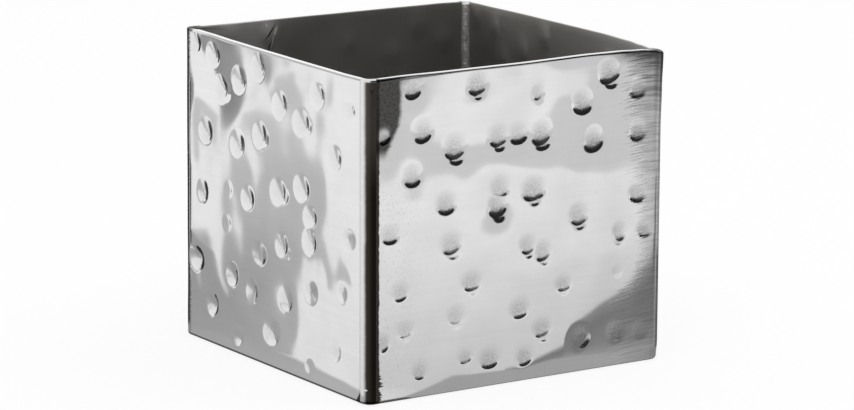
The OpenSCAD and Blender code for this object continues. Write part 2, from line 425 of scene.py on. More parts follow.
def makeHammerTree():
    lengths = ("Fold Mean", "Lean Width", "Wall Length", "Fold Radius", "Start", "Face", "End", "Turn")
    takes = [("Geometry", "Geometry"), ("Dents", "Object"), ("Seed", "Int"), ("Material", "Material")]
    takes += [(label, "Float") for label in (*hammer, *lengths)]
    tree, given, result = makeTree("hammerAndFold", "GeometryNodeTree", takes, [("Geometry", "Geometry")])
    points = fromNode(tree, "GeometryNodeObjectInfo", None, {"Object": given["Dents"]}, "Geometry")
    count = fromNode(tree, "GeometryNodeAttributeDomainSize", None, {"Geometry": points}, "Point Count")
    position = fromNode(tree, "GeometryNodeInputPosition")
    along, inward, up = split(position)

    def named(label):
        return namedLayer(tree, label)

    def store(geometry, label, value, form="FLOAT"):
        inputs = {"Geometry": geometry, "Name": label, "Value": value}
        settings = {"data_type": form, "domain": "POINT"}
        return fromNode(tree, "GeometryNodeStoreNamedAttribute", settings, inputs, "Geometry")

    def sample(value, form="FLOAT"):  # the value at this blow's own point
        inputs = {"Geometry": points, "Value": value, "Index": blow}
        settings = {"data_type": form, "domain": "POINT"}
        return fromNode(tree, "GeometryNodeSampleIndex", settings, inputs, "Value")

    def chance(low, high, shift):
        inputs = {2: low, 3: high, "ID": blow, "Seed": given["Seed"] + shift}
        return fromNode(tree, "FunctionNodeRandomValue", {"data_type": "FLOAT"}, inputs, 1)

    # one blow at a time: keep the deepest hollow, add up the soft skirts
    begin = tree.nodes.new("GeometryNodeRepeatInput")
    finish = tree.nodes.new("GeometryNodeRepeatOutput")
    begin.pair_with_output(finish)
    feed(tree, begin.inputs["Iterations"], count)
    feed(tree, begin.inputs["Geometry"], store(store(given["Geometry"], "hollow", 0.0), "skirt", 0.0))
    blow = Flow(tree, begin.outputs["Iteration"])
    dentAlong, dentUp = split(sample(position, "FLOAT_VECTOR"))[::2]
    size = sample(named("dentSize"))
    unround = chance(given["Uneven"] * -1.0, given["Uneven"], 0)
    lean = chance(-blows["slant"], blows["slant"], 5)
    aim = sample(named("dentTurn")) + chance(given["Turn Spread"] * -1.0, given["Turn Spread"], 17)
    force = chance(blows["light"], blows["hard"], 11)
    gapUp = up - dentUp
    gapAlong = (gapUp * (lean * unround) + (along - dentAlong)) * (unround + 1.0)
    away = (gapUp * gapUp + gapAlong * gapAlong).apply("SQRT")
    # the blow came in at a slant, so one side is steep and the other runs out softly
    ahead = gapAlong * aim.apply("COSINE") + gapUp * aim.apply("SINE")
    steep = (ahead / away * 0.5 + 0.5).apply("POWER", blows["steepness"])
    ramp = sample(named("dentRamp"))
    soft = (1.0 - steep) * (given["Soft Side"] * (1.0 - ramp * blows["rampCut"])) + 1.0
    ratio = away / (given["Dent Radius"] * size * soft)
    wall = 1.0 - ratio.ease(sample(named("dentFlat")) * steep, 1.0)
    slope = 1.0 - ratio.ease(0.0, 1.0, kind="LINEAR")
    wall = (slope - wall) * (ramp * (1.0 - steep)) + wall
    bowl = higher(1.0 - ratio * ratio, 0.0)
    shape = (bowl * bowl - wall) * given["Bowl Share"] + wall
    strength = given["Dent Depth"] * size * force * sample(named("dentDeep"))
    hollow = higher(named("hollow"), shape * strength)
    fall = away / (given["Skirt Radius"] * size)
    deep = given["Skirt Depth"] * size * sample(named("dentPull"))
    skirt = (fall * fall * -1.0).apply("EXPONENT") * deep + named("skirt")
    struck = store(Flow(tree, begin.outputs["Geometry"]), "hollow", hollow)
    feed(tree, finish.inputs["Geometry"], store(struck, "skirt", skirt))

    # distance from the upright corners, and a fade where the welds and the base join
    length, radius = given["Wall Length"], given["Fold Radius"]
    bend = radius * (pi / 2)
    pastFold = along - (bend * 0.5 + length)
    fromFold = higher(pastFold.apply("ABSOLUTE") - bend * 0.5, 0.0)
    toEnd = given["End"] - along
    fromEnd = lower(along, toEnd)
    atEnds = fromEnd.ease(*fades["dentEnd"]) * up.ease(*fades["dentFoot"])
    broad = fromEnd.ease(*fades["sheetEnd"]) * up.ease(*fades["sheetFoot"])
    broad = broad * fromFold.ease(*fades["sheetFold"])
    wavePlace = join(tree, along, given["Seed"] * blows["waveShift"], up)  # each seed has its own waves
    waves = noise(wavePlace, calc(tree, "DIVIDE", 1.0, given["Wave Size"]), 1.0)
    mean = given["Mean"] * fromFold.ease(*fades["mean"], given["Fold Mean"], 1.0)
    drop = named("skirt") + (waves - 0.5) * given["Wave Height"] - mean
    bulge = lower(drop, 0.0) * fromFold.ease(*fades["bulge"])
    drop = named("hollow") * atEnds + (higher(drop, 0.0) + bulge) * broad
    # the fold leans in or out, and the rim isn't quite level
    near = (fromFold * -1.0 / given["Lean Width"]).apply("EXPONENT") * fromEnd.ease(*fades["leanEnd"])
    depthIn = inward + (drop - near * named("foldLean"))
    rise = named("rimRise") * up.ease(*fades["rise"], kind="LINEAR")

    marks = {"fromFold": fromFold, "pastFold": pastFold, "toEnd": toEnd}
    marks["dentMask"] = lower(named("hollow") / given["Dent Depth"], 1.0)
    marked = Flow(tree, finish.outputs["Geometry"])
    for label, value in marks.items():
        marked = store(marked, label, value)
    marked = store(marked, "blankPlace", join(tree, along, inward, up), "FLOAT_VECTOR")

    # fold: straight, round the corner, straight again
    past = along - length
    angle = lower(higher(past / radius, 0.0), pi / 2)
    before = given["Start"] + lower(along, length)
    after = given["Face"] + radius + higher(past - bend, 0.0)
    arm = radius - depthIn
    place = join(tree, arm * angle.apply("SINE") + before, after - arm * angle.apply("COSINE"), up + rise)
    folded = fromNode(tree, "GeometryNodeSetPosition", None, {"Geometry": marked, "Position": place})
    inputs = {"Geometry": folded, "Rotation": join(tree, 0.0, 0.0, given["Turn"])}
    return closeTree(tree, fromNode(tree, "GeometryNodeTransform", None, inputs), given, result)


bead = {  # the raw bead inside each corner: the tree's inputs
    "Ripple Height": 0.07 * mm,
    "Ripple Pitch": 0.75 * mm,
    "Spatter Height": 0.13 * mm,
    "Spatter Size": 0.6 * mm,
}


def makeBeadTree():
    takes = [("Geometry", "Geometry"), ("Centre", "Vector"), ("Seed", "Int"), ("Material", "Material")]
    takes += [(label, "Float") for label in bead]
    tree, given, result = makeTree("weldBead", "GeometryNodeTree", takes, [("Geometry", "Geometry")])
    place = fromNode(tree, "GeometryNodeInputPosition")
    z = split(place)[2]
    out = vectorCalc("MULTIPLY", vectorCalc("SUBTRACT", place, given["Centre"]), (1, 1, 0))
    out = vectorCalc("NORMALIZE", out)
    crown = namedLayer(tree, "bare")
    turn = (z + crown * 0.5 * given["Ripple Pitch"]) / given["Ripple Pitch"] * pi
    ripple = turn.apply("SINE").apply("ABSOLUTE") * given["Ripple Height"]
    scale = calc(tree, "DIVIDE", 1.0, given["Spatter Size"])
    inputs = {"Vector": place, "W": given["Seed"], "Scale": scale, "Detail": 3.0}
    speck = fromNode(tree, "ShaderNodeTexNoise", {"noise_dimensions": "4D"}, inputs)
    lift = (ripple + (speck - 0.5) * given["Spatter Height"]) * crown
    inputs = {"Geometry": given["Geometry"], "Offset": vectorCalc("MULTIPLY", out, lift)}
    return closeTree(tree, fromNode(tree, "GeometryNodeSetPosition", None, inputs), given, result)


# shared finishes
def makeGroup(name, numbers, gives):  # a shader group that takes a place and some numbers
    takes = [("Place", "Vector")] + [(label, "Float") for label in numbers]
    return makeTree(name, "ShaderNodeTree", takes, [(label, "Float") for label in gives])


def makePunchGrain():  # fine pits that the punch face leaves
    tree, given, result = makeGroup("punchGrain", ["Pits Per Metre"], ["Height", "Tone"])
    fine = noise(given["Place"], given["Pits Per Metre"], 2.0, 0.6)
    coarse = noise(given["Place"], given["Pits Per Metre"] * 0.3)
    feed(tree, result["Height"], coarse * 0.6 + fine)
    feed(tree, result["Tone"], fine.ease(0.3, 0.62))
    return tree


def makeBrushLines():  # long scratches along the first axis
    tree, given, result = makeGroup("brushLines", ["Lines Per Metre", "Stretch"], ["Height", "Tone"])
    x, y, z = split(given["Place"])
    place = join(tree, x / given["Stretch"], y, z)
    fine = noise(place, given["Lines Per Metre"], 3.0, 0.65)
    wide = noise(place, given["Lines Per Metre"] * 0.25)
    feed(tree, result["Height"], wide * 0.5 + fine)
    feed(tree, result["Tone"], (wide * 0.6 + fine * 0.4).ease(0.3, 0.7))
    return tree


def makeSoftMottle():  # uneven polish: broad clouds and a few dull specks
    numbers = ["Clouds Per Metre", "Specks Per Metre"]
    tree, given, result = makeGroup("softMottle", numbers, ["Cloud", "Speck"])
    feed(tree, result["Cloud"], noise(given["Place"], given["Clouds Per Metre"], 4.0, 0.6).ease(0.32, 0.68))
    feed(tree, result["Speck"], noise(given["Place"], given["Specks Per Metre"], 2.0, 0.7).ease(0.56, 0.68))
    return tree


punchGrain = makePunchGrain()
brushLines = makeBrushLines()
softMottle = makeSoftMottle()


def startMaterial(name):
    material = bpy.data.materials.new(name)
    material.use_nodes = True
    tree = material.node_tree
    return material, tree, tree.nodes["Principled BSDF"]


def dressMetal(tree, shader, colour, rough, height, distance):
    shader.inputs["Metallic"].default_value = 1.0
    feed(tree, shader.inputs["Base Color"], colour)
    feed(tree, shader.inputs["Roughness"], rough)
    inputs = {"Strength": 1.0, "Distance": distance, "Height": height}
    feed(tree, shader.inputs["Normal"], fromNode(tree, "ShaderNodeBump", inputs=inputs))


def attribute(tree, name, output="Fac"):
    return fromNode(tree, "ShaderNodeAttribute", {"attribute_name": name}, None, output)


def objectPlace(tree):
    return fromNode(tree, "ShaderNodeTexCoord", output="Object")


def useGroup(tree, group, inputs):
    node = addNode(tree, "ShaderNodeGroup", {"node_tree": group}, inputs)
    return {socket.name: Flow(tree, socket) for socket in node.outputs}


def pitted(tree, place, finish):
    return useGroup(tree, punchGrain, {"Place": place, "Pits Per Metre": finish["pits"]})


def scratched(tree, place, finish):
    inputs = {"Place": place, "Lines Per Metre": finish["lines"], "Stretch": finish["stretch"]}
    return useGroup(tree, brushLines, inputs)


def grey(level, warm=0.0):
    return (level + warm, level, level - warm, 1.0)


hammeredFinish = {
    "steel": grey(0.83),
    # inner: satin inside, its dark grey partly painted shade of the hollow; innerPale and innerPaintedLight
    # are painted light
    "inner": grey(0.28, 0.014),
    "innerPale": grey(0.46, 0.014),
    "innerPaintedLight": grey(0.62, 0.014),
    "stain": grey(0.009, 0.002),
    "haze": grey(0.03, 0.003),
    "endDark": grey(0.035, 0.007),
    "ground": grey(0.26),
    # foldEdge: the dark of the painted reflections at the folds and under the rim, also of the dark caps and
    # smear
    "foldEdge": grey(0.10),
    # rimHighlight: a painted highlight along the rim's top
    "rimHighlight": grey(0.94),
    "dull": grey(0.50, 0.004),
    "matt": grey(0.45),
    "mirror": 0.06,
    "dentRough": 0.20,
    "innerRough": 0.46,
    "brushRough": 0.12,
    "cloudRough": 0.03,
    "stainRough": 0.14,
    "secondWall": 0.35,
    "pits": 2300.0,
    "lines": 3200.0,
    "stretch": 45.0,
    "clouds": 85.0,
    "specks": 1700.0,
    "bump": 0.004 * mm,
}
# the marks below are ranges for ease, with places in millimetres: from, to, first share, last share
grind = {  # along the walls by the folds, most of all near the top
    "slant": 0.12,
    "grain": (0.13, 0.0, 2.3),
    "upper": (30, 50, 5.0, 8.5),
    "lower": (24, 8, 0.0, 9.0),
    "ragged": (0.25, 0.75, 0.35, 1.3),
    "pastFold": (-1, 1, 1.0, 0.1),
    "softFrom": 0.3,
    "lineTone": (0.15, 0.85, 0.9, 0.5),
    "topTone": (50, 62, 0.5, 1.0),
    "middleTone": (28, 44, 0.75, 1.0),
    "raggedTone": (0.3, 0.7, 0.55, 1.3),
}
heat = {  # a stain along the start of each blank, where its weld runs, and a paler haze above it
    "edgeGrain": (120.0, 0.0, 420.0),
    "width": 0.35,
    "widthSpread": 0.9,
    "spikeGrain": (150.0, 0.0, 2400.0),
    "spikes": (0.35, 0.7),
    "spikesUp": (9, 3, 0.0, 1.2),
    "softFrom": 0.7,
    "strength": (44, 62, 0.96, 0.61),
    "dust": 1900.0,
    "hazeReach": (46.5, 56, 0.9, 4.5),
    "hazeEdge": 1.2,
    "hazeDust": 0.7,
    "hazeSoft": (0.7, 0.5),
    "hazeUp": (47.2, 50, 0.0, 0.96),
    "smearUp": (59.5, 62.8),
    "smearAlong": (15, 4, 0.0, 0.55),
    "dustTone": (0.3, 0.62, 1.0, 0.94),
    "overDents": (0.1, 0.6, 1.0, 0.25),
}
wearAndPaintedLight = {  # specks near the blank's start, matt dents, painted reflection darkening the folds, painted shade and light inside, a dark toe at the blank's end
    "rubbedAlong": (4, 13, 1.0, 0.15),
    "rubbedUp": (40, 47, 1.0, 0.2),
    "specks": 0.4,
    "clouds": 0.11,
    "lines": 0.08,
    "innerFade": (2, 30),
    "innerPaintedLight": (-23, -15, 0.0, 0.75),
    "foldFade": (0, 5),
    "mattGrain": 0.55,
    "mattAll": 0.28,
    "edge": (0, 1.1),
    "edgeUp": (46, 62, 0.12, 0.7),
    "toeSlope": 0.75,
    "toe": (1.7, 2.0),
    "seam": (0.05, 0.3, 0.55, 1.0),
    "dentRough": (0.2, 0.7),
    "dentPits": (0.35, 0.9),
    "pits": 2.5,
    "scratches": 3.5,
    "innerScratches": 0.5,
}
lip = {  # a painted highlight along the rim's top, a thin dark line under its outer edge as painted reflection, dark caps at the folds
    "line": 63.12,
    "lineSoft": 0.15,
    "lineTop": (63.44, 63.36),
    "widerAlong": (20, 4, 0.0, 0.4),
    "widerCorner": (18, 2, 0.0, 0.3),
    "secondWall": (4, 12, 0.0, 0.5),
    "firstWall": 0.8,
    "smearUp": (60.2, 62.6),
    "smearCorner": (14, 3, 0.0, 0.8),
    "highlightUp": (63.44, 63.49),
    "highlightCorner": (0.8, 2.0),
    "capUp": (62.6, 63.1),
    "capCorner": (2.2, 1.0, 0.0, 0.92),
}
scuffs = [  # inside the back wall: first x and z, last x and z, width in millimetres, pale or dark
    ((-13.2, 62.6), (-14.7, 60.2), 0.26, grey(0.95, 0.01)),
    ((-14.5, 61.0), (-14.9, 57.6), 0.26, grey(0.90, 0.01)),
    ((-13.4, 63.4), (-17.0, 59.2), 0.24, grey(0.05, 0.002)),
    ((-15.0, 59.6), (-15.6, 57.2), 0.22, grey(0.06, 0.002)),
    ((-16.2, 63.4), (-15.7, 62.2), 0.24, grey(0.70, 0.01)),
]


def scuffMask(tree, first, last, width):  # soft line between two points of the wall, seen from the front
    x, y, z = (part / mm for part in split(objectPlace(tree)))
    length = sqrt((last[0] - first[0]) ** 2 + (last[1] - first[1]) ** 2)
    dx, dz = (last[0] - first[0]) / length, (last[1] - first[1]) / length
    x = x - first[0]
    z = z - first[1]
    reached = x * dx + z * dz
    aside = (x * dz - z * dx).apply("ABSOLUTE")
    taper = reached.ease(0.0, 0.4 * length) * reached.ease(length, 0.6 * length)
    return aside.ease(width, 0.4 * width) * taper * y.ease(0, 30)


def makeHammeredSteel():
    finish = hammeredFinish
    material, tree, shader = startMaterial("hammeredSteel")
    place = attribute(tree, "blankPlace", "Vector")
    along, inward, up = (part / mm for part in split(place))
    corner, past, toEnd = (attribute(tree, name) / mm for name in ("fromFold", "pastFold", "toEnd"))
    inside = attribute(tree, "inside")
    outside = 1.0 - inside
    dent = attribute(tree, "dentMask") * outside
    coarse = past.ease(-1, 1, 1.0, finish["secondWall"])  # the first wall was struck with a coarser punch
    firstWall = coarse.ease(finish["secondWall"], 1.0)
    grain = pitted(tree, place, finish)
    lines = scratched(tree, place, finish)
    mottle = {"Place": place, "Clouds Per Metre": finish["clouds"], "Specks Per Metre": finish["specks"]}
    mottle = useGroup(tree, softMottle, mottle)

    ragged = streaks(join(tree, along, inward, up - along * grind["slant"]), grind["grain"], 3.0, 0.6)
    reach = (up.ease(*grind["upper"]) + up.ease(*grind["lower"])) * ragged.ease(*grind["ragged"])
    reach = reach * past.ease(*grind["pastFold"])
    brushed = 1.0 - corner.ease(reach * grind["softFrom"], reach)
    ground = brushed * lines["Tone"].ease(*grind["lineTone"]) * ragged.ease(*grind["raggedTone"])
    ground = ground * up.ease(*grind["topTone"]) * up.ease(*grind["middleTone"])

    edge = streaks(place, heat["edgeGrain"], 3.0, 0.65)
    spikes = streaks(place, heat["spikeGrain"], 2.0, 0.6).ease(*heat["spikes"]) * up.ease(*heat["spikesUp"])
    width = edge * heat["widthSpread"] + heat["width"] + spikes
    stain = (1.0 - along.ease(width * heat["softFrom"], width)) * up.ease(*heat["strength"]) * outside
    dust = noise(place, heat["dust"], 2.0, 0.7)
    reach = dust * heat["hazeDust"] + (edge * heat["hazeEdge"] + up.ease(*heat["hazeReach"]))
    before, beyond = heat["hazeSoft"]
    haze = (1.0 - along.ease(reach - before, reach + beyond)) * up.ease(*heat["hazeUp"])
    haze = higher(haze, up.ease(*heat["smearUp"]) * along.ease(*heat["smearAlong"]))
    haze = haze * dust.ease(*heat["dustTone"]) * outside * dent.ease(*heat["overDents"])

    rubbed = along.ease(*wearAndPaintedLight["rubbedAlong"]) * up.ease(*wearAndPaintedLight["rubbedUp"]) * wearAndPaintedLight["specks"]
    worn = lines["Tone"] * wearAndPaintedLight["lines"] + (mottle["Speck"] * rubbed + mottle["Cloud"] * wearAndPaintedLight["clouds"])
    steel = blend(worn, finish["steel"], finish["dull"])
    # painted shade and light inside: the satin is darkened as painted shade of the hollow, and paler towards
    # the folds as painted light
    inner = blend(corner.ease(*wearAndPaintedLight["innerFade"]), finish["innerPale"], finish["inner"])
    inner = blend(past.ease(*wearAndPaintedLight["innerPaintedLight"]) * past.ease(1, -1), inner, finish["innerPaintedLight"])
    for first, last, width, tone in scuffs:
        inner = blend(scuffMask(tree, first, last, width), inner, tone)
    steel = blend(inside, steel, inner)
    steel = blend(haze, steel, finish["haze"])
    # the ground strip is real brushing; its dark grey, darkest at the fold, is partly painted reflection
    steel = blend(ground, steel, blend(corner.ease(*wearAndPaintedLight["foldFade"]), finish["foldEdge"], finish["ground"]))
    matt = dent * (1.0 - grain["Tone"]) * wearAndPaintedLight["mattGrain"] + dent * wearAndPaintedLight["mattAll"]
    steel = blend(matt * coarse, steel, finish["matt"])
    # painted reflection: the fold's edge darkens, most near the top
    foldReflection = (1.0 - corner.ease(*wearAndPaintedLight["edge"])) * up.ease(*wearAndPaintedLight["edgeUp"])
    steel = blend(foldReflection, steel, finish["foldEdge"])

    # painted reflection: a thin dark line under the rim's outer edge, with a dark smear below it near the
    # fold
    wider = (along.ease(*lip["widerAlong"]) + corner.ease(*lip["widerCorner"])) * firstWall
    below = lip["line"] - wider
    line = up.ease(below - lip["lineSoft"], below) * up.ease(*lip["lineTop"])
    onFirst = coarse.ease(finish["secondWall"], 1.0, 0.0, lip["firstWall"])
    line = line * higher(past.ease(*lip["secondWall"]), onFirst)
    smear = up.ease(*lip["smearUp"]) * corner.ease(*lip["smearCorner"]) * firstWall
    steel = blend(higher(line, smear) * outside, steel, finish["foldEdge"])
    # painted highlight: the rim's top is lighter
    steel = blend(up.ease(*lip["highlightUp"]) * corner.ease(*lip["highlightCorner"]), steel, finish["rimHighlight"])
    cap = up.ease(*lip["capUp"]) * corner.ease(*lip["capCorner"]) * outside
    steel = blend(cap, steel, finish["foldEdge"])
    # a dark toe and a thin dark seam where the blank's other end meets its weld
    toe = 1.0 - (up * wearAndPaintedLight["toeSlope"] + toEnd).ease(*wearAndPaintedLight["toe"])
    seam = 1.0 - toEnd.ease(*wearAndPaintedLight["seam"])
    steel = blend(higher(toe, seam), steel, finish["endDark"])
    steel = blend(stain, steel, finish["stain"])

    rough = dent.ease(*wearAndPaintedLight["dentRough"], 0.0, finish["dentRough"] - finish["mirror"])
    rough = rough * coarse + finish["mirror"]
    rough = rough + brushed * finish["brushRough"] + mottle["Cloud"] * finish["cloudRough"]
    rough = rough + stain * finish["stainRough"] + inside * finish["innerRough"]
    pits = grain["Height"] * dent.ease(*wearAndPaintedLight["dentPits"])
    scratches = lines["Height"] * (brushed + inside * wearAndPaintedLight["innerScratches"])
    height = pits * wearAndPaintedLight["pits"] + scratches * wearAndPaintedLight["scratches"]
    dressMetal(tree, shader, steel, rough, height, finish["bump"])
    return material


weldFinish = {
    "steel": grey(0.76),
    "brushed": grey(0.55),
    "stain": grey(0.030, 0.005),
    "deep": grey(0.009, 0.002),
    "top": grey(0.055, 0.006),
    "rough": 0.10,
    "lines": 2600.0,
    "stretch": 30.0,
    "edgeGrain": (200.0, 0.0, 260.0),
    "edgeSpread": 0.35,
    "stainFrom": 0.20 * arc,
    "stainTo": 0.46 * arc,
    "fleck": (0.36 * arc, 3.0),  # a bare fleck near the foot: along, up
    "fleckSize": (0.55, 0.20),
    "fleckEdge": (0.5, 1.1),
    "bareTop": (63.2, 62.8),
    "edgeBack": 0.17,
    "deepAlong": (0.45 * arc, 0.85 * arc),
    "topUp": (40, 56),
    "lineShare": 0.25,
    "lineRough": 0.08,
    "stainRough": 0.1,
    "bump": 0.004 * mm,
}


def makeDressedWeld():  # ground and polished outside, stained on the side of the second sheet
    finish = weldFinish
    material, tree, shader = startMaterial("dressedWeld")
    place = attribute(tree, "blankPlace", "Vector")
    along, up = (part / mm for part in split(place)[::2])
    lines = scratched(tree, place, finish)
    edge = streaks(place, finish["edgeGrain"], 3.0, 0.6)
    low = edge * finish["edgeSpread"] + (finish["stainFrom"] - finish["edgeBack"])
    stain = along.ease(low, low + (finish["stainTo"] - finish["stainFrom"]))
    aside = (along - finish["fleck"][0]) / finish["fleckSize"][0]
    above = (up - finish["fleck"][1]) / finish["fleckSize"][1]
    stain = stain * (above * above + aside * aside).ease(*finish["fleckEdge"]) * up.ease(*finish["bareTop"])
    steel = blend(lines["Tone"] * finish["lineShare"], finish["steel"], finish["brushed"])
    scorch = blend(along.ease(*finish["deepAlong"]), finish["stain"], finish["deep"])
    scorch = blend(up.ease(*finish["topUp"]), scorch, finish["top"])
    rough = stain * finish["stainRough"] + (lines["Tone"] * finish["lineRough"] + finish["rough"])
    dressMetal(tree, shader, blend(stain, steel, scorch), rough, lines["Height"], finish["bump"])
    return material


beadFinish = {
    "pale": grey(0.86, 0.006), "dark": grey(0.64, 0.012), "pits": 1500.0,
    "roughLow": 0.3, "roughHigh": 0.5, "bump": 0.018 * mm,
}


def makeRawBead():  # rough, spattered, left as it was welded
    finish = beadFinish
    material, tree, shader = startMaterial("rawBead")
    grain = pitted(tree, objectPlace(tree), finish)
    colour = blend(grain["Tone"], finish["dark"], finish["pale"])
    rough = grain["Tone"].ease(0.0, 1.0, finish["roughHigh"], finish["roughLow"])
    dressMetal(tree, shader, colour, rough, grain["Height"], finish["bump"])
    return material


baseFinish = {
    "pale": grey(0.64, 0.004), "dark": grey(0.50, 0.004), "turn": 0.0, "lines": 2400.0, "stretch": 40.0,
    "pits": 900.0, "roughLow": 0.28, "roughHigh": 0.42, "scratch": 0.006 * mm,
}
seamFinish = {
    "pale": grey(0.60), "dark": grey(0.40), "turn": 0.6, "lines": 1600.0, "stretch": 12.0,
    "pits": 1400.0, "roughLow": 0.32, "roughHigh": 0.5, "scratch": 0.012 * mm,
}
pitShade = {"share": 0.18, "tone": grey(0.3)}


def makeGroundSteel(name, finish):  # satin sheet and ground welds on object coordinates
    material, tree, shader = startMaterial(name)
    place = objectPlace(tree)
    turned = fromNode(tree, "ShaderNodeMapping", None, {"Vector": place, "Rotation": (0, 0, finish["turn"])})
    lines = scratched(tree, turned, finish)
    grain = pitted(tree, place, finish)
    steel = blend(lines["Tone"], finish["dark"], finish["pale"])
    steel = blend((1.0 - grain["Tone"]) * pitShade["share"], steel, pitShade["tone"])
    rough = lines["Tone"].ease(0.0, 1.0, finish["roughHigh"], finish["roughLow"])
    dressMetal(tree, shader, steel, rough, lines["Height"], finish["scratch"])
    return material


hammeredSteel = makeHammeredSteel()
dressedWeld = makeDressedWeld()
rawBead = makeRawBead()
satinBase = makeGroundSteel("satinBase", baseFinish)
groundSeam = makeGroundSteel("groundSeam", seamFinish)
print("finishes made")


# the two hammered, folded sheets
hammerTree = makeHammerTree()


def hammered(mesh, points, first, length, end, turn, seed, fold, material):
    values = {
        **hammer, "Dents": points, "Fold Mean": fold["mean"], "Lean Width": fold["width"] * mm,
        "Wall Length": length * mm, "Fold Radius": holder["corner"] * mm, "Start": first * mm,
        "Face": -half * mm, "End": end * mm, "Turn": turn, "Seed": seed, "Material": material,
    }
    return runTree(mesh, hammerTree, values)


def makeSheet(name, node, sides, turn, seed, fold):
    rows = wallRows(walls[sides[0]], 0.0) + wallRows(walls[sides[1]], run + arc)
    points = dentPoints(name + "Dents", rows)
    flat = blankMesh(name + "Blank", sheetColumns(), fold)
    start, end = holder["corner"] - half, 2 * run + arc
    mesh = hammered(flat, points, start, run, end, turn, seed, fold, hammeredSteel)
    bpy.data.objects.remove(points)
    mesh.name = name
    piece = showObject(name, mesh)
    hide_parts(node)
    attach(piece, "root")
    print(name, "made with", len(rows), "dents and", len(mesh.polygons), "faces")


makeSheet("frontRightSheet", "front_right_sheet", ("front", "right"), 0.0, 3, rightFold)
makeSheet("backLeftSheet", "back_left_sheet", ("back", "left"), pi, 8, leftFold)

# the two corner welds
weld = {"arcSteps": 10, "upStep": 0.3, "setback": 0.54, "bury": 0.25}
weldNicks = [  # small flaws at the ends of each weld
    (share * arc, up, size, 0.0, 1.0, 0.0, 0.5, 0.0)
    for share, up, size in ((0.62, 2.3, 0.30), (0.72, 61.6, 0.22))
]
beadTree = makeBeadTree()


def beadMesh(name, turn):  # in the corner at the right end of a wall, then turned about the middle
    leg = holder["corner"] - holder["sheet"] + holder["beadLap"]
    setback, bury, inner = weld["setback"], weld["bury"], half - holder["sheet"]
    radius = sqrt((leg + setback) ** 2 + setback ** 2)
    centre = (inner + setback, -inner - setback)
    toe = asin(setback / radius)  # from each wall to the bead's toe, as seen from the centre
    loop = []
    for i, a in enumerate(sweep(pi - toe, pi / 2 + toe, weld["arcSteps"] + 1)):
        crown = sin(pi * i / weld["arcSteps"]) ** 0.5
        loop.append((centre[0] + radius * cos(a), centre[1] + radius * sin(a), crown))
    for x, y in ((bury, leg), (bury, -bury), (-leg, -bury)):  # hidden in the walls
        loop.append((inner + x, -inner + y, 0.0))
    levels = steps(holder["base"], holder["height"] - holder["rim"], weld["upStep"])
    mesh = ringMesh(name, [[(x, y, z) for x, y, crown in loop] for z in levels])
    addLayer(mesh, "bare", [crown for x, y, crown in loop] * len(levels))
    spin = Matrix.Rotation(turn, 4, "Z")
    mesh.transform(spin)
    return mesh, spin @ Vector((centre[0] * mm, centre[1] * mm, 0))


def makeWeld(name, node, turn, seed):
    points = dentPoints(name + "Nicks", weldNicks)
    strip = blankMesh(name + "Strip", weldColumns(), noFold)
    outside = hammered(strip, points, half - holder["corner"], 0.0, arc, turn, seed, noFold, dressedWeld)
    bpy.data.objects.remove(points)
    raw, centre = beadMesh(name + "Bead", turn)
    lump = runTree(raw, beadTree, {**bead, "Centre": centre, "Seed": seed, "Material": rawBead})
    piece = showObject(name, outside)
    parts = [piece, showObject(name + "Lump", lump)]
    with bpy.context.temp_override(active_object=piece, selected_editable_objects=parts):
        bpy.ops.object.join()
    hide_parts(node)
    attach(piece, "root")
    print(name, "made with", len(piece.data.polygons), "faces")


makeWeld("frontLeftWeld", "front_left_weld", 3 * pi / 2, 21)
makeWeld("backRightWeld", "back_right_weld", pi / 2, 34)

# the base and its seams keep their solids
seams = {"base_weld_" + side: groundSeam for side in ("front", "right", "back", "left")}
for node, material in {"base_plate": satinBase, **seams}.items():
    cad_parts[node].data.materials.clear()
    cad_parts[node].data.materials.append(material)
print("base dressed")

# studio: pale floor, white surround, soft lamps, and cards that only the polish sees
studio = {
    "floorSize": 8.0, "floorDrop": 0.0001, "floorWhite": 0.86, "floorRough": 0.9,
    "shadowShare": 0.17, "ambient": 0.85,
}
lamps = {  # place in metres, size, power
    "keyLamp": ((-0.7, -0.9, 1.5), 1.2, 9.0),
    "fillLamp": ((1.0, -0.4, 1.3), 1.4, 5.0),
}


def seenDirectly(tree):  # by the camera, or in a mirror
    path = addNode(tree, "ShaderNodeLightPath").outputs
    seen = higher(Flow(tree, path["Is Camera Ray"]), Flow(tree, path["Is Glossy Ray"]))
    return higher(seen, Flow(tree, path["Is Transmission Ray"]))


def mixSurface(tree, share, first, second):
    mix = fromNode(tree, "ShaderNodeMixShader", None, {0: share, 1: first, 2: second})
    feed(tree, tree.nodes["Material Output"].inputs["Surface"], mix)


def makeFloor():
    size = studio["floorSize"] / 2
    mesh = bpy.data.meshes.new("floor")
    corners = [(-size, -size, 0), (size, -size, 0), (size, size, 0), (-size, size, 0)]
    mesh.from_pydata(corners, [], [(0, 1, 2, 3)])
    floor = showObject("floor", mesh)
    floor.location.z = -studio["floorDrop"]
    material, tree, shader = startMaterial("paleFloor")
    shader.inputs["Base Color"].default_value = grey(studio["floorWhite"])
    shader.inputs["Roughness"].default_value = studio["floorRough"]
    shader.inputs["Specular IOR Level"].default_value = 0.0
    white = fromNode(tree, "ShaderNodeEmission", None, {"Color": grey(1.0), "Strength": 1.0})
    mixSurface(tree, seenDirectly(tree) * (1 - studio["shadowShare"]), Flow(tree, shader.outputs[0]), white)
    mesh.materials.append(material)


def makeWorld():
    world = bpy.data.worlds.new("whiteRoom")
    scene.world = world
    world.use_nodes = True
    tree = world.node_tree
    level = seenDirectly(tree).ease(0.0, 1.0, studio["ambient"], 1.0, "LINEAR")
    feed(tree, tree.nodes["Background"].inputs["Color"], grey(1.0))
    feed(tree, tree.nodes["Background"].inputs["Strength"], level)


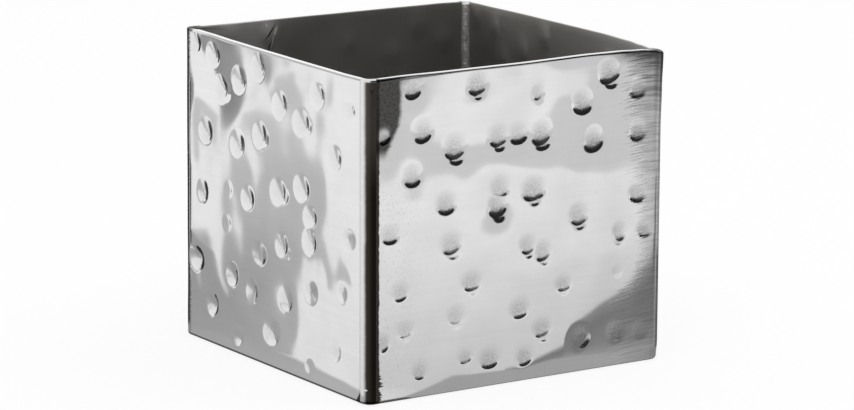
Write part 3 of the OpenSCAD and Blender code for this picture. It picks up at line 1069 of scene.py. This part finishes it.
def makeLamp(name, place, size, power):
    data = bpy.data.lights.new(name, "AREA")
    data.size = size
    data.energy = power
    lamp = showObject(name, data)
    lamp.location = place
    lamp.rotation_euler = (-Vector(place)).to_track_quat("-Z", "Y").to_euler()
    lamp.visible_glossy = False


def cardMaterial(name):  # plain glow, fading out where the card's solid attribute falls
    material, tree, shader = startMaterial(name)
    tree.nodes.remove(shader)
    inputs = {"Color": attribute(tree, "tone", "Color"), "Strength": 1.0}
    glow = fromNode(tree, "ShaderNodeEmission", None, inputs)
    mixSurface(tree, attribute(tree, "solid"), fromNode(tree, "ShaderNodeBsdfTransparent"), glow)
    return material


def makeCard(name, rows, levels):  # rows of points (x, y, z, solid) in millimetres, joined row to row
    width = len(rows[0])
    points = [(x * mm, y * mm, z * mm) for row in rows for x, y, z, solid in row]
    faces = [
        (i * width + j, i * width + j + 1, (i + 1) * width + j + 1, (i + 1) * width + j)
        for i in range(len(rows) - 1)
        for j in range(width - 1)
    ]
    mesh = bpy.data.meshes.new(name)
    mesh.from_pydata(points, [], faces)
    addLayer(mesh, "solid", [solid for row in rows for x, y, z, solid in row])
    tones = levels if isinstance(levels, list) else [levels] * len(rows)
    tones = [tone if isinstance(tone, list) else [tone] * width for tone in tones]
    addLayer(mesh, "tone", [tone for row in tones for tone in row])
    mesh.materials.append(cardMaterial(name))
    card = showObject(name, mesh)
    for ray in ("camera", "diffuse", "transmission", "volume_scatter", "shadow"):
        setattr(card, "visible_" + ray, False)


floorCards = {  # strips on the table in millimetres: near line, far line, soft edge, height, glow row by row
    "farFloorCard": {
        "near": [
            (-220, -190), (-60, -216), (84, -224), (112, -230), (127, -226), (142, -201), (160, -188),
            (180, -176),
        ],
        "far": [
            (-330, -350), (-100, -470), (60, -470), (116, -460), (150, -450), (190, -430), (240, -400),
            (330, -340),
        ],
        "soft": 13.0, "z": 0.3, "levels": [0.70] * 8,
    },
    # a painted shadow of the holder on the table, seen only in the polish
    "rightFloorCard": {
        "near": [(-26, -35.6), (-8, -44), (5, -45), (25, -45), (46, -45)],
        "far": [(-25, -35.1), (-6, -35.1), (6, -35.1), (24, -35.1), (42, -35.1)],
        "soft": 1.0, "z": 0.2, "levels": [0.42] * 5,
    },
    "leftFloorCard": {
        "near": [
            (-43, 6), (-55, 29), (-70, 54), (-91, 80), (-112, 112), (-133, 149), (-150, 182), (-178, 238),
            (-194, 266),
        ],
        "far": [
            (-42, 29), (-54, 51), (-65, 67), (-78, 87), (-94, 113), (-109, 141), (-136, 187), (-156, 226),
            (-177, 262),
        ],
        "soft": 1.6, "z": 0.5, "levels": [0.49, 0.48, 0.48, 0.50, 0.55, 0.57, 0.60, 0.62, 0.66],
        "farLevels": [0.39, 0.37, 0.39, 0.44, 0.47, 0.52, 0.58, 0.62, 0.66],
    },
    "fingerCard": {
        "near": [(-103, 96), (-100, 84), (-95, 71), (-88, 54), (-85, 48)],
        "far": [(-97, 98), (-94, 86), (-90, 73), (-83.5, 56), (-81, 50)],
        "soft": 1.0, "z": 0.6, "levels": [0.56] * 5,
    },
    # a painted shadow near the left wall's foot, seen only in the polish
    "leftNearCard": {
        "near": [(-38, -34), (-40, -10), (-42, 10), (-45, 30), (-57, 57), (-70, 85), (-81, 108), (-86, 121)],
        "far": [
            (-35.2, -34), (-35.2, -10), (-35.2, 10), (-35.5, 40), (-40, 80), (-52, 110), (-64, 135),
            (-72, 150),
        ],
        "soft": 1.2, "z": 0.7, "levels": [0.52, 0.50, 0.46, 0.40, 0.38, 0.38, 0.40, 0.41],
    },
    # a painted shadow of the holder behind it, seen only in the polish
    "backFloorCard": {
        "near": [(-38, 56), (-57, 92), (-105, 178), (-165, 256), (-224, 330)],
        "far": [(-36, 54), (-36, 92), (-36, 178), (-38, 256), (-40, 330)],
        "soft": 3.0, "z": 0.9, "levels": [0.03, 0.03, 0.05, 0.40, 0.20],
    },
}
horizon = {  # a dark band far round the front, from one angle to another
    "level": 0.02, "from": -42.0, "to": 84.0, "radius": 480.0, "top": 340.0, "solid": 0.8, "fade": 0.25,
    "steps": 24,
}
upright = {  # a painted shadow standing on the right strip: x and height of its top edge, then height share, solid and lift by row
    "y": -45.0,
    "top": [
        (4, 0.0), (8, 0.6), (18, 2.7), (19.8, 6.2), (25.4, 7.8), (29.6, 10.0), (35, 13.7), (38.6, 19.6),
        (40.5, 25), (43, 34), (50, 36),
    ],
    "rows": [(0.0, 1.0, 0.0), (0.3, 1.0, 0.0), (0.7, 1.0, 0.0), (1.0, 1.0, 0.0), (1.0, 0.0, 1.0)],
    "levels": [0.36, 0.26, 0.22, 0.30, 0.34],
}
squareCards = {  # round the foot: corners of a square with their shares, then how far out and how solid
    "footCard": {  # a painted contact shadow, seen only in the polish: the dark line where the foot meets the table
        "ring": [(-1, -1, 1.0), (1, -1, 1.0), (1, 1, 1.0), (-1, 1, 1.0), (-1, -1, 1.0)],
        "reach": [(33.6, 1.0), (35.4, 1.0), (36.6, 0.0)],
        "z": 0.1, "level": 0.10,
    },
    "shadeCard": {  # a painted shadow, seen only in the polish: the table is darker close by, most of all at the right
        "ring": [
            (-1, -1, 0.3), (-0.5, -1, 1.0), (0.4, -1, 1.0), (1, -1, 1.9), (1, 1, 0.5), (-1, 1, 0.3),
            (-1, -1, 0.3),
        ],
        "reach": [(35.6, 0.42), (60.0, 0.40), (109.0, 0.25), (180.0, 0.10), (240.0, 0.015), (280.0, 0.0)],
        "z": 0.15, "level": 0.30,
    },
}
sleeves = {  # dark strips round the two folds: middle, angles, glow by angle, top by angle, share by height
    "rightSleeveCard": {
        "middle": (32.8, -32.8), "from": 58, "to": 150,
        "levels": [0.54, 0.52, 0.49, 0.42, 0.20, 0.07, 0.06, 0.06, 0.06],
        "tops": [66.0] * 7 + [61.5] * 2,
        "shares": [(0, 0.38), (19, 0.38), (23, 1.0), (50, 1.0), (58, 0.45), (66, 0.45)],
    },
    "leftSleeveCard": {
        "middle": (-32.8, 32.8), "from": 224, "to": 146, "levels": [0.03] * 9,
        "tops": [66.0] * 9,
        "shares": [(0, 1.0), (66, 1.0)],
    },
}
sleeveRadius = 9.0


def around(angle, radius):  # x and y at an angle from the front, turning to the right
    return radius * sin(radians(angle)), -radius * cos(radians(angle))


def softStrip(card):  # a strip between two lines of points, both edges fading out
    rows = []
    for (ax, ay), (bx, by) in zip(card["near"], card["far"]):
        length = max(1.0, sqrt((bx - ax) ** 2 + (by - ay) ** 2))
        dx, dy = (bx - ax) / length * card["soft"], (by - ay) / length * card["soft"]
        line = [(ax - dx, ay - dy, 0.0), (ax, ay, 1.0), (bx, by, 1.0), (bx + dx, by + dy, 0.0)]
        rows.append([(x, y, card["z"], solid) for x, y, solid in line])
    return rows


def makeCards():
    last, top = horizon["steps"], horizon["top"]
    angles = sweep(horizon["from"], horizon["to"], last + 1)
    sides = [min(1.0, horizon["fade"] * min(i, last - i)) for i in range(last + 1)]
    points = [around(angle, horizon["radius"]) for angle in angles]
    rows = []
    for z, solid in ((0.0, 1.0), (top * horizon["solid"], 1.0), (top, 0.0)):
        rows.append([(x, y, z, solid * side) for (x, y), side in zip(points, sides)])
    makeCard("horizonCard", rows, horizon["level"])
    for name, card in floorCards.items():
        tones = zip(card["levels"], card.get("farLevels", card["levels"]))
        makeCard(name, softStrip(card), [[near, near, far, far] for near, far in tones])
    rows = []
    for share, solid, lift in upright["rows"]:
        rows.append([(x, upright["y"], share * z + lift, solid) for x, z in upright["top"]])
    makeCard("rightUprightCard", rows, upright["levels"])
    for name, card in squareCards.items():
        ring, z = card["ring"], card["z"]
        rows = [[(x * r, y * r, z, solid * share) for x, y, share in ring] for r, solid in card["reach"]]
        makeCard(name, rows, card["level"])
    for name, card in sleeves.items():
        rows = []
        for angle, top in zip(sweep(card["from"], card["to"], len(card["tops"])), card["tops"]):
            x, y = (m + d for m, d in zip(card["middle"], around(angle, sleeveRadius)))
            rows.append([(x, y, min(z, top), 1.0) for z, share in card["shares"]])
        makeCard(name, rows, [[level * share for z, share in card["shares"]] for level in card["levels"]])


camera = {
    "place": (-425.94, -649.62, 194.69),
    "azimuth": -33.361,
    "elevation": 12.020,
    "roll": 0.2355,
    "lens": 165.66,
    "sensor": 36.0,
    "clip": (0.01, 50.0),
}


def makeCamera():
    a, e, r = (radians(camera[key]) for key in ("azimuth", "elevation", "roll"))
    back = Vector((sin(a) * cos(e), -cos(a) * cos(e), sin(e)))
    right = Vector((cos(a), sin(a), 0))
    above = back.cross(right)
    turnedRight = cos(r) * right + sin(r) * above
    turnedUp = cos(r) * above - sin(r) * right
    data = bpy.data.cameras.new("photoCamera")
    data.sensor_width = camera["sensor"]
    data.lens = camera["lens"]
    data.clip_start, data.clip_end = camera["clip"]
    eye = showObject("photoCamera", data)
    basis = Matrix((turnedRight, turnedUp, back)).transposed().to_4x4()
    eye.matrix_world = Matrix.Translation(Vector(camera["place"]) * mm) @ basis
    scene.camera = eye


makeFloor()
makeWorld()
for name, (place, size, power) in lamps.items():
    makeLamp(name, place, size, power)
makeCards()
makeCamera()
scene.view_settings.view_transform = "Standard"
print("studio set")
